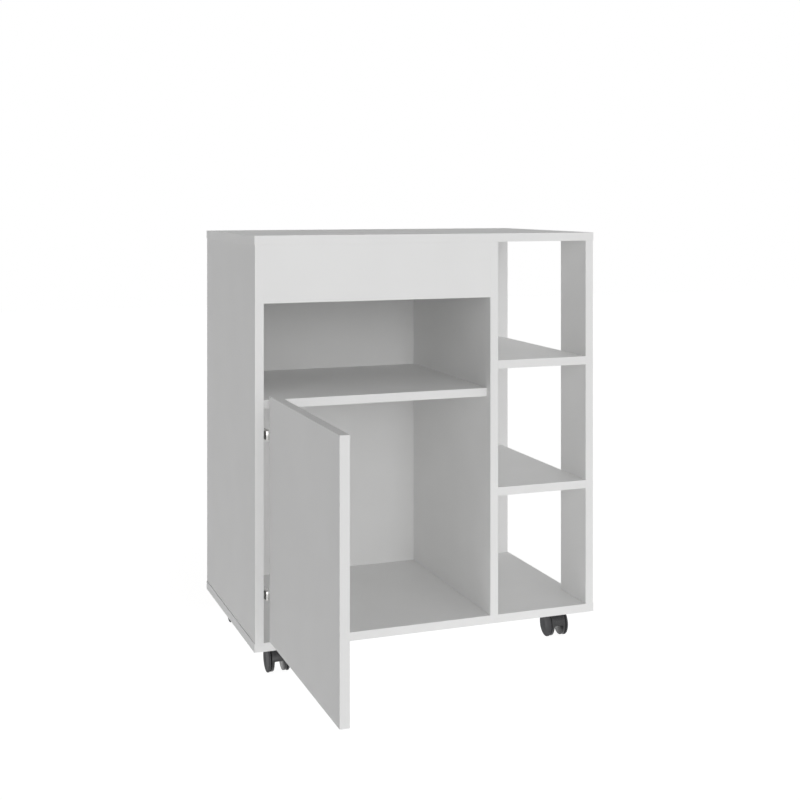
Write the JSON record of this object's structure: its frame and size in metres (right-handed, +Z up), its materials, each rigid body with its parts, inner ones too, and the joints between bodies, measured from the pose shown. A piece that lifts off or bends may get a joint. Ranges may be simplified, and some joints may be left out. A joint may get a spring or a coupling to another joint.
{
  "type": "microwave cart",
  "caption": "White panel cart on twin-wheel casters, with a flat top, an open niche, a hinged cupboard door and open side cells.",
  "frame": {"origin": "on the floor, under the middle of the box round the cart with its door open square", "axes": "+X to the right along the front, +Y from the front to the back, +Z up"},
  "size_m": [0.634, 0.819, 0.7466],
  "materials": {
    "white_board": "smooth satin white melamine coating on particle board",
    "white_hardboard": "thin hardboard, painted white inside, plain brown outside",
    "nickel_steel": "nickel-plated pressed steel",
    "zinc_steel": "zinc-plated steel",
    "black_steel": "black painted pressed steel",
    "black_plastic": "moulded black nylon",
    "wheel_plastic": "moulded dark grey-black wheel"
  },
  "bodies": {
    "carcass": {"bottom_panel": "white_board", "top_panel": "white_board", "left_side_panel": "white_board", "divider_panel": "white_board", "right_front_post": "white_board", "rear_column_board": "white_board", "front_apron": "white_board", "middle_shelf": "white_board", "upper_side_shelf": "white_board", "lower_side_shelf": "white_board", "back_panel": "white_hardboard", "cam_lock_left_front": "zinc_steel", "cam_bolt_left_front": "zinc_steel", "bottom_screw_left_front": "zinc_steel", "cam_lock_left_rear": "zinc_steel", "cam_bolt_left_rear": "zinc_steel", "bottom_screw_left_rear": "zinc_steel", "cam_lock_divider_front": "zinc_steel", "cam_bolt_divider_front": "zinc_steel", "bottom_screw_divider_front": "zinc_steel", "cam_lock_divider_rear": "zinc_steel", "cam_bolt_divider_rear": "zinc_steel", "bottom_screw_divider_rear": "zinc_steel", "lower_hinge_plate": "nickel_steel", "lower_hinge_arm": "nickel_steel", "lower_hinge_plate_screw_top": "zinc_steel", "lower_hinge_plate_screw_bottom": "zinc_steel", "upper_hinge_plate": "nickel_steel", "upper_hinge_arm": "nickel_steel", "upper_hinge_plate_screw_top": "zinc_steel", "upper_hinge_plate_screw_bottom": "zinc_steel", "front_left_caster_plate": "black_steel", "front_right_caster_plate": "black_steel", "rear_left_caster_plate": "black_steel", "rear_right_caster_plate": "black_steel"},
    "hinge_links": {"lower_hinge_link": "nickel_steel", "upper_hinge_link": "nickel_steel"},
    "door": {"door_panel": "white_board", "lower_hinge_cup": "nickel_steel", "lower_hinge_cup_screw_top": "zinc_steel", "lower_hinge_cup_screw_bottom": "zinc_steel", "upper_hinge_cup": "nickel_steel", "upper_hinge_cup_screw_top": "zinc_steel", "upper_hinge_cup_screw_bottom": "zinc_steel"},
    "front_left_caster": {"front_left_caster_hood": "black_plastic", "front_left_caster_axle": "zinc_steel"},
    "front_left_caster_wheel_right": {"front_left_caster_wheel_right": "wheel_plastic"},
    "front_left_caster_wheel_left": {"front_left_caster_wheel_left": "wheel_plastic"},
    "front_right_caster": {"front_right_caster_hood": "black_plastic", "front_right_caster_axle": "zinc_steel"},
    "front_right_caster_wheel_right": {"front_right_caster_wheel_right": "wheel_plastic"},
    "front_right_caster_wheel_left": {"front_right_caster_wheel_left": "wheel_plastic"},
    "rear_left_caster": {"rear_left_caster_hood": "black_plastic", "rear_left_caster_axle": "zinc_steel"},
    "rear_left_caster_wheel_right": {"rear_left_caster_wheel_right": "wheel_plastic"},
    "rear_left_caster_wheel_left": {"rear_left_caster_wheel_left": "wheel_plastic"},
    "rear_right_caster": {"rear_right_caster_hood": "black_plastic", "rear_right_caster_axle": "zinc_steel"},
    "rear_right_caster_wheel_right": {"rear_right_caster_wheel_right": "wheel_plastic"},
    "rear_right_caster_wheel_left": {"rear_right_caster_wheel_left": "wheel_plastic"}
  },
  "joints": [
    {"name": "door_swing", "type": "hinge", "parent": "hinge_links", "child": "door", "pos_m": [-0.282, -0.008, 0.2721], "axis": [0, 0, 1], "range_deg": [-7.78, 140]},
    {"name": "hinge_link_turn", "type": "hinge", "parent": "carcass", "child": "hinge_links", "pos_m": [-0.26609, 0.01247, 0.2721], "axis": [0, 0, 1], "range_deg": [-50.1, 2.8]},
    {"name": "front_left_caster_swivel", "type": "hinge", "parent": "carcass", "child": "front_left_caster", "pos_m": [-0.26785, 0.0557, 0.0411], "axis": [0, 0, 1], "continuous": true},
    {"name": "front_left_caster_wheel_right_spin", "type": "hinge", "parent": "front_left_caster", "child": "front_left_caster_wheel_right", "pos_m": [-0.25165, 0.0455, 0.0231], "axis": [1, 0, 0], "continuous": true},
    {"name": "front_left_caster_wheel_left_spin", "type": "hinge", "parent": "front_left_caster", "child": "front_left_caster_wheel_left", "pos_m": [-0.28405, 0.0455, 0.0231], "axis": [1, 0, 0], "continuous": true},
    {"name": "front_right_caster_swivel", "type": "hinge", "parent": "carcass", "child": "front_right_caster", "pos_m": [0.2574, 0.0557, 0.0411], "axis": [0, 0, 1], "continuous": true},
    {"name": "front_right_caster_wheel_right_spin", "type": "hinge", "parent": "front_right_caster", "child": "front_right_caster_wheel_right", "pos_m": [0.2736, 0.0455, 0.0231], "axis": [1, 0, 0], "continuous": true},
    {"name": "front_right_caster_wheel_left_spin", "type": "hinge", "parent": "front_right_caster", "child": "front_right_caster_wheel_left", "pos_m": [0.2412, 0.0455, 0.0231], "axis": [1, 0, 0], "continuous": true},
    {"name": "rear_left_caster_swivel", "type": "hinge", "parent": "carcass", "child": "rear_left_caster", "pos_m": [-0.26785, 0.3527, 0.0411], "axis": [0, 0, 1], "continuous": true},
    {"name": "rear_left_caster_wheel_right_spin", "type": "hinge", "parent": "rear_left_caster", "child": "rear_left_caster_wheel_right", "pos_m": [-0.25165, 0.3425, 0.0231], "axis": [1, 0, 0], "continuous": true},
    {"name": "rear_left_caster_wheel_left_spin", "type": "hinge", "parent": "rear_left_caster", "child": "rear_left_caster_wheel_left", "pos_m": [-0.28405, 0.3425, 0.0231], "axis": [1, 0, 0], "continuous": true},
    {"name": "rear_right_caster_swivel", "type": "hinge", "parent": "carcass", "child": "rear_right_caster", "pos_m": [0.2574, 0.3527, 0.0411], "axis": [0, 0, 1], "continuous": true},
    {"name": "rear_right_caster_wheel_right_spin", "type": "hinge", "parent": "rear_right_caster", "child": "rear_right_caster_wheel_right", "pos_m": [0.2736, 0.3425, 0.0231], "axis": [1, 0, 0], "continuous": true},
    {"name": "rear_right_caster_wheel_left_spin", "type": "hinge", "parent": "rear_right_caster", "child": "rear_right_caster_wheel_left", "pos_m": [0.2412, 0.3425, 0.0231], "axis": [1, 0, 0], "continuous": true}
  ],
  "couplings": [
    {"joint": "hinge_link_turn", "follows": "door_swing", "ratio": -0.35714}
  ]
}
